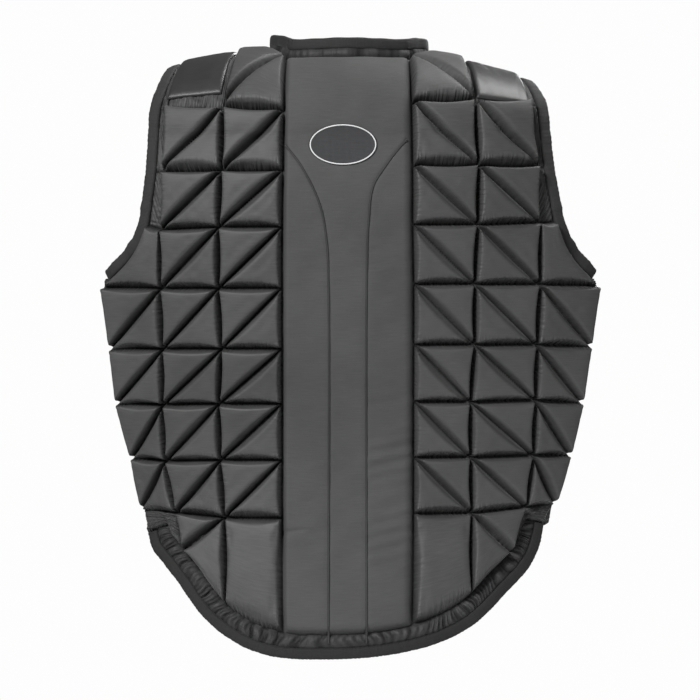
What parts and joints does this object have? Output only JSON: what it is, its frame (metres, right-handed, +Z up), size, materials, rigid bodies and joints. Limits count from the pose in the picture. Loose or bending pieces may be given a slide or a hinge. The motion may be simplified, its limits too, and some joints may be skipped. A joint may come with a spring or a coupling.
{
  "type": "equestrian body protector",
  "caption": "Sleeveless padded riding vest of quilted foam cells with a flat spine panel, low gathered collar, shoulder straps and a rounded tail.",
  "frame": {"origin": "shoulder_rest: midway between the shoulders, at the height where the shoulder straps rest on the wearer", "axes": "+Z up, -Y out of the back that the picture shows, +Y the wearer's front, +X the wearer's right"},
  "size_m": [0.4431, 0.2677, 0.5619],
  "materials": {
    "quilted_nylon": "satin woven nylon over foam cells",
    "spine_cloth": "matte fine weave",
    "strap_cloth": "satin woven nylon",
    "gathered_cloth": "gathered satin nylon",
    "binding_tape": "matte ribbed tape",
    "piping": "matte cord",
    "patch": "plain woven patch with a light rim",
    "zip_tape": "matte zip tape"
  },
  "bodies": {
    "root": {"spine_panel": "spine_cloth", "spine_piping_left": "piping", "spine_piping_right": "piping", "oval_patch": "patch", "back_quilt_left": "quilted_nylon", "back_quilt_right": "quilted_nylon", "front_quilt_left": "quilted_nylon", "front_quilt_right": "quilted_nylon", "side_quilt_left": "quilted_nylon", "side_quilt_right": "quilted_nylon", "shoulder_strap_left": "strap_cloth", "shoulder_strap_right": "strap_cloth", "neck_collar": "gathered_cloth", "hem_gather": "gathered_cloth", "neck_binding": "binding_tape", "armhole_binding_left": "binding_tape", "armhole_binding_right": "binding_tape", "hem_binding": "binding_tape", "front_hem_binding_left": "binding_tape", "front_hem_binding_right": "binding_tape", "front_zip": "zip_tape"}
  },
  "joints": []
}
